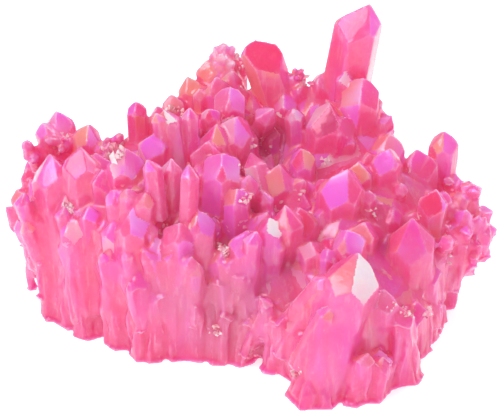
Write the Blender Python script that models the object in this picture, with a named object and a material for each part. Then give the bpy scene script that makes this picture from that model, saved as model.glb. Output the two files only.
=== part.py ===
"""Aura quartz cluster: a fused root body, cut off flat below, that carries some 250 six-sided quartz points.

The cluster grew as one piece, so it is one node: every point is joined into the root body by a union.
Lengths are in millimetres and angles in degrees up to the last step, which scales the mesh to metres.
+X is right, -Y is the front, +Z is up. The flat cut underneath lies on z = 0.
"""

import math
import random

import bmesh
import bpy
from mathutils import Matrix, Vector

NODE_NAME = "quartz_cluster"
METRES_PER_MM = 0.001

# A quartz point
END_FACE_TILT = 51.8  # the end faces of quartz lean this far from the axis
LESSER_RISE = 0.13  # the three lesser end faces stand this share of the width higher
UNEVENNESS = 0.09  # how unevenly the end faces are cut, as a share of the width
PRISM_TAPER = 0.90  # width at the tip against width at the root

# The fused root body
ROOT_CENTRE = (4.0, 2.0)
ROOT_WALL_DEPTH = 1.3  # how far the body stays behind the outline of the cut
RIM_DROP = 4.0  # the upright wall of the body ends this far below its top
END_BULGE = 3.0  # how far the two ends of the body swell out at half height
FLOOR_HEIGHT = 0.0  # height of the flat cut
CUT_DEPTH = 4.0  # everything grows this far below the flat cut before it is cut
BLOCK_SIZE = 300.0  # the block that makes the flat cut

# Outline of the flat cut, x and y, counterclockwise from the right end
FOOTPRINT = (
    (42.0, 6.0), (42.0, 14.0), (39.0, 21.0), (33.0, 26.0), (24.0, 29.0), (12.0, 30.0), (2.0, 31.0),
    (-8.0, 32.0), (-18.0, 29.0), (-28.0, 26.0), (-37.0, 23.0), (-42.0, 18.0), (-43.0, 10.0), (-41.0, 3.0),
    (-38.5, -2.0), (-36.0, -6.0), (-32.0, -9.5), (-27.0, -12.5), (-22.0, -16.0), (-15.0, -17.5),
    (-8.0, -17.5), (2.0, -19.0), (5.0, -24.0), (8.5, -30.0), (12.5, -33.0), (20.0, -33.5), (25.0, -31.0),
    (29.5, -26.5), (33.0, -20.0), (36.0, -13.0), (39.0, -5.0),
)

# Heights of the root body at chosen spots, x, y and z
ROOT_SPOTS = (
    (-40.0, 3.0, 28.0), (-33.0, 0.0, 31.0), (-23.0, -10.0, 27.0), (-14.0, -17.0, 24.0), (-5.0, -15.0, 22.0),
    (3.0, -15.0, 21.0), (6.5, -20.0, 10.0), (10.0, -10.0, 24.0), (19.0, -5.0, 29.0), (19.0, -16.0, 22.0),
    (20.0, -26.0, 12.0), (30.0, -24.0, 8.0), (32.0, -9.0, 19.0), (36.0, -2.0, 21.0), (40.0, 12.0, 27.0),
    (38.0, -12.0, 8.0), (41.0, -3.0, 12.0), (26.0, -19.0, 16.0),
    (45.0, 8.0, 19.0), (28.0, 5.0, 31.0), (33.0, 8.0, 29.0), (24.0, 14.0, 40.0), (22.0, 22.0, 42.0),
    (2.0, 22.0, 41.0), (12.0, 22.0, 42.0), (-8.0, 25.0, 40.0), (-13.0, 22.0, 38.0), (-23.0, 14.0, 34.0),
    (-4.0, 12.0, 39.0), (-2.0, 5.0, 36.0), (-9.0, 0.0, 33.0), (-18.0, 1.0, 34.0), (-24.0, -4.0, 33.0),
    (-28.0, 8.0, 30.0), (-36.0, 14.0, 32.0), (3.0, 8.0, 25.0), (8.0, 12.0, 34.0), (15.0, 10.0, 35.0),
    (10.0, 3.0, 29.0), (6.0, -1.0, 27.0), (-30.0, 19.0, 25.0), (0.0, 30.0, 29.0), (20.0, 3.0, 29.0),
    (-16.0, 18.0, 36.0), (-12.0, -8.0, 27.0), (-28.0, 26.0, 18.0), (-36.0, 22.0, 24.0), (-18.0, 28.0, 24.0),
    (32.0, 26.0, 19.0), (38.0, 20.0, 20.0), (20.0, 29.0, 28.0), (10.0, 30.0, 29.0),
)

# Upright points: tip x, y, z; lean to the right; lean to the front; width; turn of the first end face to
# the right. At turn 0 a main end face looks to the front, at turn 60 a lesser one does.
UPPER_POINTS = (
    (-23.0, 14.0, 41.4, -2, 6, 4.8, 50),
    (-19.0, 16.0, 39.4, -8, 0, 5.8, 20),
    (-16.0, 19.0, 40.4, -10, 0, 5.6, 0),
    (-12.7, 22.0, 43.3, -12, 0, 6.8, 10),
    (-8.6, 25.0, 45.5, -10, 0, 7.0, -10),
    (-6.0, 27.0, 47.8, -8, 0, 5.8, 0),
    (-2.8, 26.0, 46.0, 0, 0, 5.2, 20),
    (-6.7, 18.0, 45.0, -6, 4, 6.6, 5),
    (-8.0, 8.0, 43.4, -4, 8, 4.8, 50),
    (8.8, 12.0, 41.2, -4, 5, 4.8, 35),
    (10.2, 22.0, 44.8, 16, 0, 4.6, 15),
    (11.2, 20.0, 42.8, 24, 6, 4.2, 40),
    (25.8, 18.0, 40.8, 6, 0, 3.6, 0),
    (19.0, 17.0, 46.6, 0, 0, 4.0, 20),
    (-8.9, 0.0, 40.0, -6, 6, 7.4, -15),
    (-12.7, 3.0, 36.8, 3, 8, 5.8, 20),
    (21.5, 2.0, 34.2, -4, 8, 6.8, -10),
    (-20.5, -12.0, 35.4, 2, 6, 5.6, 30),
    (-23.9, -11.0, 35.7, -4, 6, 4.2, 50),
    (-26.4, -9.0, 34.1, -4, 6, 5.2, 60),
    (-29.0, -3.0, 35.4, -4, 6, 6.6, 15),
    (-42.0, 15.0, 36.4, -14, 2, 5.6, -30),
    (-28.2, 10.0, 34.4, 6, 4, 3.6, 0),
    (-43.6, 13.0, 32.0, -14, 2, 5.4, 0),
    (-45.0, 8.0, 29.6, -16, 4, 5.6, 15),
    (-47.2, 6.0, 26.0, -24, 4, 5.8, -10),
    (-45.4, 19.0, 26.0, -22, -8, 6.2, 0),
)

# Upright points of the outer wall, which reach down to the cut
WALL_POINTS = (
    (-30.5, 4.0, 35.4, 0, -8, 6.0, 30),
    (-43.0, 1.0, 26.0, -8, -4, 7.6, 20),
    (-26.8, -10.4, 28.0, -3, 1, 6.6, 0),
    (-18.4, -14.6, 26.8, 3, 1, 6.4, 20),
    (-5.4, -15.2, 25.0, -2, 1, 6.4, 45),
    (-37.0, -2.0, 29.0, -6, -5, 7.0, 40),
    (-31.7, -7.5, 29.6, -4, 0, 5.0, 30),
    (-35.0, -6.5, 26.4, -5, -2, 7.4, 0),
    (-14.0, -15.5, 30.6, 0, 2, 7.4, 60),
    (-9.6, -13.5, 32.0, 2, 2, 7.4, 50),
    (4.1, -13.5, 30.7, 0, 2, 6.4, 35),
    (-22.0, -16.0, 20.4, -3, 1, 7.0, 30),
    (-17.4, -17.0, 17.4, 6, 1, 5.6, -20),
    (-10.3, -16.6, 19.0, 0, 1, 6.0, 10),
    (-27.5, -11.5, 24.0, -4, 1, 7.8, 40),
    (-36.6, -4.0, 18.0, -6, 0, 6.4, 10),
    (-4.0, -17.6, 13.0, 10, 1, 6.0, 30),
    (1.2, -18.0, 11.0, 16, 1, 6.0, 0),
    (13.6, -29.2, 13.0, 13, -3, 7.4, 0),
    (25.9, -31.0, 9.8, 12, 2, 5.8, 30),
    (22.9, -32.0, 11.4, 14, 0, 5.8, 10),
    (26.0, -24.5, 20.8, 6, 0, 6.8, 20),
    (28.2, -24.6, 17.4, -8, 3, 8.0, 40),
    (37.6, -4.6, 19.6, 3, 1, 6.0, 10),
    (35.4, -9.5, 17.4, 1, 1, 7.0, 30),
    (33.0, -16.0, 13.0, 4, 2, 6.6, 10),
)

# Points that lie over towards the outside: tip x, y, z; heading, 0 to the right and -90 to the front;
# rise above the level; width; turn; length
OUTWARD_POINTS = (
    (15.3, -25.5, 24.6, -35, 57, 5.4, -25, 25),
    (32.2, -21.6, 4.4, -38, -40, 8.0, 10, 16),
    (39.0, -12.0, 4.0, -25, -35, 7.0, 30, 14),
    (38.9, 0.0, 28.6, -40, 75, 4.6, 20, 14),
    (29.0, 14.0, 38.2, 0, 46, 5.0, 20, 9),
    (29.6, 15.0, 34.6, 10, 30, 5.0, 0, 9),
    (44.8, 9.0, 26.0, -10, 68, 6.2, 30, 14),
    (46.4, 6.0, 23.4, -20, 48, 6.0, 0, 14),
    (50.0, 6.0, 19.8, -14, 26, 6.6, 10, 14),
    (51.0, 6.0, 15.4, -8, 8, 6.6, 0, 14),
    (50.0, 4.0, 11.2, -16, -12, 6.4, 30, 14),
    (46.6, 4.0, 6.6, -20, -35, 6.0, 10, 12),
    (46.4, 0.0, 18.0, -42, 16, 6.0, 40, 14),
    (45.2, -1.4, 12.4, -44, -6, 6.0, 0, 12),
    (44.0, 1.0, 22.4, -48, 38, 5.6, 20, 12),
    (48.4, 12.0, 18.0, 12, 20, 6.2, 0, 14),
    (47.6, 14.0, 11.0, 20, 0, 6.2, 20, 12),
    (45.0, 18.0, 17.0, 34, 24, 6.2, 0, 12),
    (-50.0, 7.0, 20.8, 178, 38, 6.8, 0, 17),
    (-49.0, 11.0, 16.6, 172, 26, 6.6, 0, 14),
    (-46.6, 2.0, 17.0, 200, 40, 6.4, 30, 14),
    (-47.4, 5.0, 13.0, 186, 34, 6.6, 30, 14),
)

# Chief points: where the first end face crosses the axis, x, y, z; leans; width; turn; then how high each
# of the six end faces crosses the axis, in widths. The first group stands on the body, the second reaches
# down to the cut.
CHIEF_POINTS = (
    (22.5, 22.0, 58.7, 9, 0, 11.0, -21, (0.0, 0.17, 0.25, 0.30, 0.0, 0.20)),
    (1.8, 22.0, 49.7, -17, 0, 9.2, 38, (0.0, 0.38, 0.26, 0.30, 0.50, 0.50)),
    (15.6, 10.0, 41.6, 8, 5, 8.4, -25, (0.0, 0.35, 0.17, 0.35, 0.35, 0.06)),
    (-5.4, -5.0, 39.8, 2, 6, 9.0, 60, (0.0, 0.25, 0.06, 0.25, 0.0, 0.13)),
    (-18.7, 1.0, 40.9, 2, 6, 7.4, -28, (0.0, 0.30, 0.15, 0.30, 0.05, 0.20)),
    (18.2, -5.0, 35.6, 4, 6, 10.2, -25, (0.0, 0.12, 0.20, 0.30, 0.05, 0.15)),
    (31.8, -10.0, 26.7, -2, 8, 11.0, -8, (0.0, 0.12, 0.15, 0.30, 0.15, 0.08)),
    (34.4, 8.0, 32.5, -3, 4, 7.4, 20, (0.0, 0.25, 0.15, 0.30, 0.30, 0.30)),
    (39.4, 12.0, 35.5, 2, 4, 6.8, 30, (0.0, 0.15, 0.05, 0.15, 0.05, 0.05)),
    (27.4, 3.0, 36.1, 2, 6, 7.0, -28, (0.0, 0.20, 0.12, 0.25, 0.10, 0.20)),
    (28.1, 9.0, 36.4, 4, 4, 7.6, 25, (0.0, 0.15, 0.10, 0.20, 0.05, 0.12)),
    (22.5, 14.0, 46.3, 4, 4, 9.4, 55, (0.0, 0.20, 0.12, 0.20, -0.02, 0.28)),
    (5.5, -1.0, 34.4, 2, 10, 8.0, -12, (0.0, 0.10, 0.15, 0.30, 0.12, 0.20)),
    (10.5, 3.0, 36.3, 0, 6, 6.0, 35, (0.0, 0.20, 0.10, 0.20, 0.10, 0.0)),
    (-3.0, 5.0, 42.2, 0, 8, 8.2, -35, (0.0, 0.02, 0.10, 0.25, 0.10, 0.25)),
    (-4.0, 12.0, 45.4, 2, 6, 7.8, 58, (0.0, 0.20, 0.10, 0.20, 0.0, 0.14)),
    (-24.3, -4.0, 40.4, 2, 6, 8.4, 25, (0.0, 0.20, 0.05, 0.15, 0.05, 0.0)),
    (36.7, -2.0, 29.3, 6, 8, 7.0, -15, (0.0, 0.20, 0.15, 0.30, 0.15, 0.30)),
    (19.0, -16.0, 28.9, -4, 8, 7.6, 35, (0.0, 0.20, 0.05, 0.20, 0.05, 0.12)),
    (9.4, -10.0, 30.2, -4, 8, 8.2, 25, (0.0, 0.15, 0.10, 0.20, 0.0, 0.0)),
    (-39.3, 17.0, 37.5, -5, 2, 7.6, 25, (0.0, 0.15, 0.05, 0.15, 0.05, 0.02)),
    (-32.8, 13.0, 36.6, 4, 4, 6.8, -35, (0.0, 0.05, 0.05, 0.15, 0.05, 0.15)),
)
CHIEF_WALL_POINTS = (
    (20.8, -24.0, 27.7, 16, -12, 12.4, 30, (0.0, 0.20, 0.12, 0.20, 0.10, 0.02)),
    (-40.0, 3.0, 35.2, -7, -9, 9.6, -18, (-0.02, 0.08, 0.05, 0.20, 0.05, 0.02)),
    (-33.7, 1.0, 37.4, -3, -10, 8.6, -15, (0.0, 0.10, 0.12, 0.25, 0.10, 0.20)),
    (-23.0, -13.5, 31.8, -2, 2, 8.0, 35, (0.0, 0.20, 0.10, 0.20, 0.05, 0.08)),
    (-0.8, -15.5, 28.4, 2, 2, 7.6, -25, (0.0, 0.15, 0.10, 0.25, 0.05, 0.20)),
)

# Columns of the outer wall: lowest and highest tips, spacing along the outline, width, how far they stand out
WALL_TIERS = (
    (20.0, 32.0, 6.0, 7.6, 0.8),
    (8.0, 18.0, 9.0, 5.8, 1.1),
    (4.0, 8.0, 16.0, 5.0, 1.3),
)
BACK_SPACING = 1.6  # the columns of the back are this much further apart, and as much wider
END_LEAN = 4.0  # the outer columns lean out more towards the two ends
FILLER_COUNT = 40
FILLER_SPACING = 4.4
FILLER_LENGTH = 17.0
SIDE_LENGTH = 19.0
SEED = 11


def upright(lean_right, lean_front):
    """Axis of a point that stands up with small leans."""
    return Vector((math.tan(math.radians(lean_right)), -math.tan(math.radians(lean_front)), 1.0)).normalized()


def outward(heading, rise):
    """Axis of a point that lies over towards the outside."""
    level = math.cos(math.radians(rise))
    swing = math.radians(heading)
    return Vector((level * math.cos(swing), level * math.sin(swing), math.sin(math.radians(rise))))


def cut_end_face(bm, azimuth, height):
    """Cuts one flat end face through the axis at a height. Azimuth 0 faces the front."""
    swing, tilt = math.radians(azimuth - 90), math.radians(END_FACE_TILT)
    normal = Vector((math.cos(swing) * math.sin(tilt), math.sin(swing) * math.sin(tilt), math.cos(tilt)))
    everything = bm.verts[:] + bm.edges[:] + bm.faces[:]
    bmesh.ops.bisect_plane(bm, geom=everything, plane_co=(0, 0, height), plane_no=normal, clear_outer=True)
    open_edges = [edge for edge in bm.edges if edge.is_boundary]
    if open_edges:
        bmesh.ops.holes_fill(bm, edges=open_edges, sides=0)


def uneven_heights(rng, plain=False):
    """Heights of the six end faces in widths, main and lesser by turns. A plain tip hardly has lesser ones."""
    heights = []
    for step in range(6):
        lesser = (LESSER_RISE + 0.2 * plain) if step % 2 else 0.0
        heights.append(rng.uniform(-UNEVENNESS, UNEVENNESS) + lesser)
    return heights


def quartz_point(width, length, heights, tip_at_top):
    """One point along +Z, its highest corner at z = 0 or its first end face crossing the axis there."""
    bm = bmesh.new()
    middle = Matrix.Translation((0, 0, (width - length) / 2))
    bmesh.ops.create_cone(
        bm,
        cap_ends=True,
        segments=6,
        radius1=width / 2,
        radius2=width / 2 * PRISM_TAPER,
        depth=length + width,
        matrix=middle,
    )
    for step, height in enumerate(heights):
        cut_end_face(bm, 60 * step, height * width)
    if tip_at_top:
        top = max(vert.co.z for vert in bm.verts)
        bmesh.ops.translate(bm, verts=bm.verts[:], vec=(0, 0, -top))
    return bm


def grow(whole, tip, axis, width, turn, heights, length, tip_at_top=True):
    """Adds one point to the mesh."""
    bm = quartz_point(width, length, heights, tip_at_top)
    stand = Vector((0, 0, 1)).rotation_difference(axis).to_matrix().to_4x4()
    bm.transform(Matrix.Translation(tip) @ stand @ Matrix.Rotation(math.radians(turn), 4, "Z"))
    mesh = bpy.data.meshes.new("point")
    bm.to_mesh(mesh)
    bm.free()
    whole.from_mesh(mesh)
    bpy.data.meshes.remove(mesh)


def length_to(height, tip_z, axis):
    """Length that carries a point from its tip down to a height."""
    return (tip_z - height) / axis.z


def reach(angle):
    """Distance from the root centre to the outline of the cut in one direction."""
    ray = Vector((math.cos(angle), math.sin(angle)))
    best = 0.0
    for index, start in enumerate(FOOTPRINT):
        a = Vector(start) - Vector(ROOT_CENTRE)
        b = Vector(FOOTPRINT[(index + 1) % len(FOOTPRINT)]) - Vector(ROOT_CENTRE)
        side = b - a
        spread = ray.x * side.y - ray.y * side.x
        if abs(spread) < 1e-9:
            continue
        along = (a.x * side.y - a.y * side.x) / spread
        share = (a.x * ray.y - a.y * ray.x) / spread
        if along > 0 and -1e-6 <= share <= 1 + 1e-6:
            best = max(best, along)
    return best


def root_height(x, y):
    """Height of the root body under the points, drawn from the nearest chosen spots."""
    total, weight_sum = 0.0, 0.0
    for spot_x, spot_y, spot_z in ROOT_SPOTS:
        weight = 1 / (0.5 + (x - spot_x) ** 2 + (y - spot_y) ** 2) ** 2
        total += weight * spot_z
        weight_sum += weight
    return total / weight_sum


def root_body():
    """The fused body: a ball pushed out to the outline and up to the chosen heights."""
    bm = bmesh.new()
    bmesh.ops.create_uvsphere(bm, u_segments=30, v_segments=12, radius=1.0)
    for vert in bm.verts:
        angle = math.atan2(vert.co.y, vert.co.x)
        out = math.hypot(vert.co.x, vert.co.y)
        above = vert.co.z > -0.01
        share = out if above else min(1.0, out * 1.5)
        radius = (reach(angle) - ROOT_WALL_DEPTH) * share
        x = ROOT_CENTRE[0] + radius * math.cos(angle)
        y = ROOT_CENTRE[1] + radius * math.sin(angle)
        rim = root_height(x, y) - RIM_DROP * out**6
        z = rim if above else rim + (rim + CUT_DEPTH) * vert.co.z
        swell = END_BULGE * math.cos(angle) ** 4 * share**4 * max(0.0, math.sin(math.pi * z / 30))
        vert.co = (x + swell * math.copysign(1.0, math.cos(angle)), y, z)
    return bm


def outline_walk(spacing, rng):
    """Places along the outline of the cut, each with the direction straight out and its coarseness."""
    places = []
    carry = rng.uniform(0, spacing)
    for index, start in enumerate(FOOTPRINT):
        a, b = Vector(start), Vector(FOOTPRINT[(index + 1) % len(FOOTPRINT)])
        side = b - a
        outward = Vector((side.y, -side.x)).normalized()
        coarse = BACK_SPACING if a.y > 12 else 1.0
        while carry < side.length:
            places.append((a + side * (carry / side.length), outward, coarse))
            carry += spacing * coarse * rng.uniform(0.8, 1.2)
        carry -= side.length
    return places


def grow_walls(whole, placed, rng):
    """Upright columns side by side all round the outline, in three tiers of height."""
    for low, high, spacing, width, stand_out in WALL_TIERS:
        for place, out, coarse in outline_walk(spacing, rng):
            if coarse > 1 and low < 6 or 3 < place.x < 24 and place.y < -22 and low > 6:
                continue
            out_lean = END_LEAN * (abs(place.x) / 45) ** 3 + rng.uniform(-1, 2)
            size = width * coarse * rng.uniform(0.8, 1.2)
            rim = root_height(place.x, place.y) + rng.uniform(-2, 2.5)
            height = min(max(low, rim), high, rim) if low > 19 else min(rng.uniform(low, high), rim)
            slide = math.tan(math.radians(out_lean)) * height
            depth = 0.43 * size - stand_out * rng.uniform(0.4, 1.3)
            spot = place + out * (slide - depth)
            if any(math.hypot(spot.x - x, spot.y - y) < 0.4 * size and height > z - 6 for x, y, z in placed):
                continue
            axis = upright(out_lean * out.x + rng.uniform(-3, 3), -out_lean * out.y)
            turn = math.degrees(math.atan2(out.x, -out.y)) + rng.uniform(-40, 40)
            length = length_to(-CUT_DEPTH, height, axis)
            heights = uneven_heights(rng, rng.random() < 0.6)
            grow(whole, (spot.x, spot.y, height), axis, size, turn, heights, length)
            placed.append((spot.x, spot.y, height))


def grow_side(whole, placed, rng, point):
    """A lower, thinner point grown on to the side of a placed one."""
    x, y, z, lean_right, lean_front, width, turn = point
    size = width * rng.uniform(0.55, 0.85)
    inward = 180 if x > 20 else 0 if x < -20 else rng.uniform(-180, 0)
    side = math.radians(inward + rng.uniform(-50, 50))
    away = 0.36 * width + 0.30 * size
    drop = size * rng.uniform(0.5, 1.0) + (1.5 if math.sin(side) < -0.5 else 0.0)
    spot = (x + away * math.cos(side), y + away * math.sin(side), z - drop)
    axis = upright(lean_right + rng.uniform(-4, 4), lean_front + rng.uniform(-2, 5))
    grow(whole, spot, axis, size, turn + rng.uniform(-12, 12), uneven_heights(rng, True), SIDE_LENGTH)
    placed.append(spot)


def grow_fillers(whole, placed, rng):
    """Short points in the gaps between the placed ones."""
    count = 0
    for attempt in range(4000):
        angle, share = rng.uniform(0, 2 * math.pi), math.sqrt(rng.uniform(0, 1))
        radius = (reach(angle) - 3.0) * share
        x, y = ROOT_CENTRE[0] + radius * math.cos(angle), ROOT_CENTRE[1] + radius * math.sin(angle)
        if any(math.hypot(x - other[0], y - other[1]) < FILLER_SPACING for other in placed):
            continue
        floor = root_height(x, y)
        z = floor + rng.uniform(1.0, 4.0)
        axis = upright(x * 0.3 + rng.uniform(-10, 10), -y * 0.2 + rng.uniform(-6, 10))
        width = rng.uniform(3.8, 6.4)
        turn = rng.uniform(-60, 60)
        heights = uneven_heights(rng, rng.random() < 0.7)
        grow(whole, (x, y, z), axis, width, turn, heights, FILLER_LENGTH)
        placed.append((x, y, z))
        count += 1
        if count == FILLER_COUNT:
            break


def mesh_object(name, bm, collection):
    """Turns a bmesh into an object."""
    mesh = bpy.data.meshes.new(name)
    bm.to_mesh(mesh)
    bm.free()
    obj = bpy.data.objects.new(name, mesh)
    collection.objects.link(obj)
    return obj


def apply_boolean(body, tool, operation, join_self):
    """Applies one Boolean to the body."""
    modifier = body.modifiers.new(operation.lower(), "BOOLEAN")
    modifier.operation = operation
    modifier.solver = "EXACT"
    modifier.use_self = join_self
    modifier.object = tool
    bpy.context.view_layer.objects.active = body
    bpy.ops.object.modifier_apply(modifier=modifier.name)


def keep_outer_shell(obj):
    """Removes closed hollows left inside where points grew round a gap."""
    bm = bmesh.new()
    bm.from_mesh(obj.data)
    bm.faces.ensure_lookup_table()
    seen, shells = set(), []
    for face in bm.faces:
        if face in seen:
            continue
        shell, queue = [], [face]
        seen.add(face)
        while queue:
            current = queue.pop()
            shell.append(current)
            for edge in current.edges:
                for neighbour in edge.link_faces:
                    if neighbour not in seen:
                        seen.add(neighbour)
                        queue.append(neighbour)
        shells.append(shell)
    shells.sort(key=len)
    for shell in shells[:-1]:
        bmesh.ops.delete(bm, geom=shell, context="FACES")
    bm.to_mesh(obj.data)
    bm.free()


def grow_points(rng):
    """All the points, still overlapping one another, as one bmesh."""
    points = bmesh.new()
    placed = []
    for x, y, z, lean_right, lean_front, width, turn, heights in CHIEF_POINTS + CHIEF_WALL_POINTS:
        axis = upright(lean_right, lean_front)
        on_wall = (x, y, z, lean_right, lean_front, width, turn, heights) in CHIEF_WALL_POINTS
        length = length_to(-CUT_DEPTH if on_wall else 0.35 * root_height(x, y), z, axis)
        grow(points, (x, y, z), axis, width, turn, heights, length, tip_at_top=False)
        placed.append((x, y, z))
    for x, y, z, lean_right, lean_front, width, turn in UPPER_POINTS:
        axis = upright(lean_right, lean_front)
        length = max(12.0, length_to(root_height(x, y) - 14, z, axis))
        grow(points, (x, y, z), axis, width, turn, uneven_heights(rng), length)
        placed.append((x, y, z))
    for x, y, z, lean_right, lean_front, width, turn in WALL_POINTS:
        axis = upright(lean_right, lean_front)
        grow(points, (x, y, z), axis, width, turn, uneven_heights(rng), length_to(-CUT_DEPTH, z, axis))
        placed.append((x, y, z))
    for x, y, z, heading, rise, width, turn, length in OUTWARD_POINTS:
        grow(points, (x, y, z), outward(heading, rise), width, turn, uneven_heights(rng), length)
        placed.append((x, y, z))
    for point in CHIEF_POINTS[2:]:
        grow_side(points, placed, rng, point[:7])
    for point in UPPER_POINTS:
        if point[5] > 5.4:
            grow_side(points, placed, rng, point)
    grow_walls(points, placed, rng)
    grow_fillers(points, placed, rng)
    return points


def quartz_material():
    """Pink, milky, glassy."""
    material = bpy.data.materials.new("aura_quartz")
    material.use_nodes = True
    shader = material.node_tree.nodes["Principled BSDF"]
    shader.inputs["Base Color"].default_value = (1.0, 0.16, 0.36, 1.0)
    shader.inputs["Roughness"].default_value = 0.12
    shader.inputs["IOR"].default_value = 1.54
    return material


def settle(body):
    """Puts the middle of the outline over the origin and scales the mesh to metres."""
    xs = [vert.co.x for vert in body.data.vertices]
    ys = [vert.co.y for vert in body.data.vertices]
    middle = Vector(((min(xs) + max(xs)) / 2, (min(ys) + max(ys)) / 2, FLOOR_HEIGHT))
    body.data.transform(Matrix.Scale(METRES_PER_MM, 4) @ Matrix.Translation(-middle))


def main():
    for obj in list(bpy.data.objects):
        bpy.data.objects.remove(obj)
    part = bpy.data.collections.new(NODE_NAME)
    helpers = bpy.data.collections.new("helpers")
    bpy.context.scene.collection.children.link(part)
    bpy.context.scene.collection.children.link(helpers)
    body = mesh_object(NODE_NAME, root_body(), part)
    tool = mesh_object("points", grow_points(random.Random(SEED)), helpers)
    block = bmesh.new()
    below = Matrix.Translation((0, 0, FLOOR_HEIGHT - BLOCK_SIZE / 2))
    bmesh.ops.create_cube(block, size=BLOCK_SIZE, matrix=below)
    cutter = mesh_object("ground", block, helpers)
    apply_boolean(body, tool, "UNION", True)
    apply_boolean(body, cutter, "DIFFERENCE", False)
    keep_outer_shell(body)
    settle(body)
    body.data.materials.append(quartz_material())
    for helper in (tool, cutter):
        helper.hide_render = True
        helper.display_type = "WIRE"


if __name__ == "__main__":
    main()
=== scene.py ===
"""Aura quartz cluster: the dressed crystals, their fine druse and a plain studio stage.

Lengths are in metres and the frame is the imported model's: +X right, -Y front, +Z up, the flat cut on z = 0.
Run as a script, it registers its operators, calls them in order and leaves the finished scene.
"""

import math
import random

import bmesh
import bpy
import numpy as np
from bpy.props import FloatProperty, FloatVectorProperty, IntProperty, PointerProperty
from mathutils import Matrix, Vector, noise
from mathutils.bvhtree import BVHTree


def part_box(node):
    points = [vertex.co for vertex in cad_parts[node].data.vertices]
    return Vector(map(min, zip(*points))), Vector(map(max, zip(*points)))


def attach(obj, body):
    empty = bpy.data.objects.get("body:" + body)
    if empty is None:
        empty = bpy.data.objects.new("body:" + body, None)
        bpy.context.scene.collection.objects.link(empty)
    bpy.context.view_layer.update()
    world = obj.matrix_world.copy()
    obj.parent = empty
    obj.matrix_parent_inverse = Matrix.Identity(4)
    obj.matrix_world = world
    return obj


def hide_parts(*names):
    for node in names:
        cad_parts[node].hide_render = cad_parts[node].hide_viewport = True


bl_info = {
    "name": "Aura Quartz Cluster",
    "version": (1, 0, 0),
    "blender": (4, 5, 0),
    "location": "View3D > Sidebar > Quartz",
    "description": "Dresses a pink aura quartz cluster with film, fine druse and a plain studio stage",
    "category": "Add Mesh",
}

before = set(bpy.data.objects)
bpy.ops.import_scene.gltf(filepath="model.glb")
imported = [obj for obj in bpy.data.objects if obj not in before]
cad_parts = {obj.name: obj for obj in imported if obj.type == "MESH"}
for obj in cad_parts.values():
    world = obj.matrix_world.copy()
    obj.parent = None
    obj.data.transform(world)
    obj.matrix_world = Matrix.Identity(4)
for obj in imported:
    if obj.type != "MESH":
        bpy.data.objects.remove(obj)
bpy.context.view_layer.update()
NODE = "quartz_cluster"
BODY = "root"
MM = 0.001
MERGE = 0.002 * MM
SEED = 7
SOLID_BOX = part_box(NODE)

# The view that the cluster is arranged for, with the columns and rows of its frame
VIEW_COLUMNS, VIEW_ROWS = 500, 411
VIEW_AIM = Vector((-0.00041, 0.00108, 0.0253))
VIEW_DISTANCE = 0.5
VIEW_ELEVATION = math.radians(30)
VIEW_BACK = Vector((0, -math.cos(VIEW_ELEVATION), math.sin(VIEW_ELEVATION)))
VIEW_RIGHT, VIEW_UP = Vector((1, 0, 0)), Vector((0, math.sin(VIEW_ELEVATION), math.cos(VIEW_ELEVATION)))
LENS, SENSOR = 180.0, 36.0

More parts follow.
